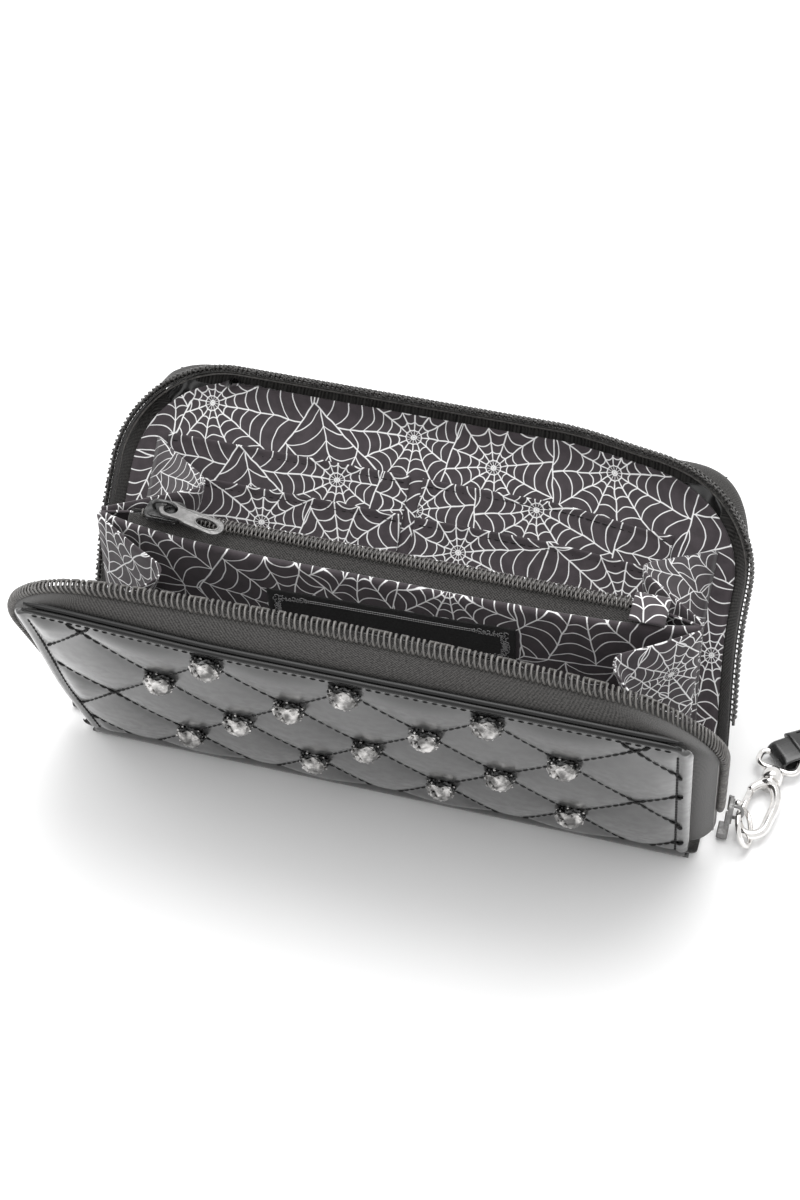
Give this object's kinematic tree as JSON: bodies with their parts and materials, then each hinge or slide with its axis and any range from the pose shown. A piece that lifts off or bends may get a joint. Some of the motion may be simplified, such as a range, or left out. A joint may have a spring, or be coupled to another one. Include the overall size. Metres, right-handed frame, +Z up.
{
  "type": "zip-around clutch wallet",
  "caption": "Zip-around clutch wallet standing open on its spine, with quilted studded covers, a zipped coin pocket on gussets, card slots and a swivel clasp with a wrist strap.",
  "frame": {"origin": "middle of the spine's underside, on the surface that the wallet stands on", "axes": "+X along the wallet towards the clasp, +Y to the back cover, +Z up out of the opening"},
  "size_m": [0.3263, 0.1833, 0.0991],
  "materials": {
    "vinyl": "quilted pewter-black coated vinyl, semi-gloss, black thread",
    "piping": "glossy black welt",
    "board": "stiffener board",
    "print_lining": "charcoal woven lining with an off-white spider-web print",
    "zipper_tape": "dark grey woven zip tape",
    "zipper_coil": "grey nylon coil",
    "stud_metal": "gunmetal-plated, faceted",
    "satin_metal": "satin grey plated zinc",
    "chrome": "bright nickel plate",
    "label_cloth": "black woven label with a grey border",
    "strap_vinyl": "glossy black coated vinyl, edge-stitched"
  },
  "bodies": {
    "spine": {"spine_panel": "vinyl", "spine_lining": "print_lining", "zipper_bottom_stop": "satin_metal", "zipper_end_tab": "zipper_tape", "pocket_front_wall": "print_lining", "pocket_back_wall": "print_lining", "pocket_front_tape": "zipper_tape", "pocket_back_tape": "zipper_tape", "pocket_coil": "zipper_coil", "pocket_end_tab": "print_lining", "pocket_label": "label_cloth", "gusset_front_left": "print_lining", "gusset_front_right": "print_lining", "gusset_back_left": "print_lining", "gusset_back_right": "print_lining"},
    "front_cover": {"front_cover_panel": "vinyl", "front_cover_board": "board", "front_cover_lining": "print_lining", "front_zipper_tape": "zipper_tape", "front_zipper_coil": "zipper_coil", "front_piping": "piping", "stud_1": "stud_metal", "stud_2": "stud_metal", "stud_3": "stud_metal", "stud_4": "stud_metal", "stud_5": "stud_metal", "stud_6": "stud_metal", "stud_7": "stud_metal", "stud_8": "stud_metal", "stud_9": "stud_metal", "stud_10": "stud_metal", "stud_11": "stud_metal", "stud_12": "stud_metal", "stud_13": "stud_metal", "stud_14": "stud_metal"},
    "back_cover": {"back_cover_panel": "vinyl", "back_cover_board": "board", "back_cover_lining": "print_lining", "back_zipper_tape": "zipper_tape", "back_zipper_coil": "zipper_coil", "back_piping": "piping", "card_slot_left_1": "print_lining", "card_slot_left_2": "print_lining", "card_slot_left_3": "print_lining", "card_slot_right_1": "print_lining", "card_slot_right_2": "print_lining", "card_slot_right_3": "print_lining"},
    "pocket_slider": {"pocket_slider": "satin_metal"},
    "pocket_pull": {"pocket_pull": "satin_metal"},
    "main_slider": {"main_slider": "satin_metal"},
    "slider_ring": {"slider_ring": "chrome"},
    "clasp": {"clasp_hook": "chrome", "wrist_strap": "strap_vinyl", "strap_rivet": "chrome"},
    "clasp_gate": {"clasp_gate": "chrome"},
    "swivel": {"swivel_eye": "chrome"}
  },
  "joints": [
    {"name": "front_cover_hinge", "type": "hinge", "parent": "spine", "child": "front_cover", "pos_m": [0, -0.0125, 0.0024], "axis": [1, 0, 0], "range_deg": [-25, 15], "deforming": ["gusset_front_left", "gusset_front_right"]},
    {"name": "back_cover_hinge", "type": "hinge", "parent": "spine", "child": "back_cover", "pos_m": [0, 0.0125, 0.0024], "axis": [-1, 0, 0], "range_deg": [-43, 12], "deforming": ["gusset_back_left", "gusset_back_right"]},
    {"name": "pocket_slider_slide", "type": "slide", "parent": "spine", "child": "pocket_slider", "axis": [1, 0, 0], "range_m": [0, 0.125]},
    {"name": "pocket_pull_hinge", "type": "hinge", "parent": "pocket_slider", "child": "pocket_pull", "pos_m": [-0.0671, 0, 0.0894], "axis": [0, -1, 0], "range_deg": [0, 160]},
    {"name": "main_slider_slide", "type": "slide", "parent": "spine", "child": "main_slider", "axis": [0, 0, 1], "range_m": [0, 0.005]},
    {"name": "ring_pivot", "type": "hinge", "parent": "main_slider", "child": "slider_ring", "pos_m": [0.1048, 0, 0.011], "axis": [0, -1, 0], "range_deg": [0, 50]},
    {"name": "clasp_pivot", "type": "hinge", "parent": "slider_ring", "child": "clasp", "pos_m": [0.10778, 0.0035, 0.0038], "axis": [0, 0, 1], "range_deg": [-50, 6]},
    {"name": "gate_hinge", "type": "hinge", "parent": "clasp", "child": "clasp_gate", "pos_m": [0.10648, 0.0149, 0.0038], "axis": [0, 0, -1], "range_deg": [0, 20], "stiffness_Nm_per_rad": 0.004, "springref_deg": -11.46},
    {"name": "swivel_spin", "type": "hinge", "parent": "clasp", "child": "swivel", "pos_m": [0.11215, 0.02284, 0.0038], "axis": [0.1736, 0.9848, 0], "continuous": true}
  ]
}
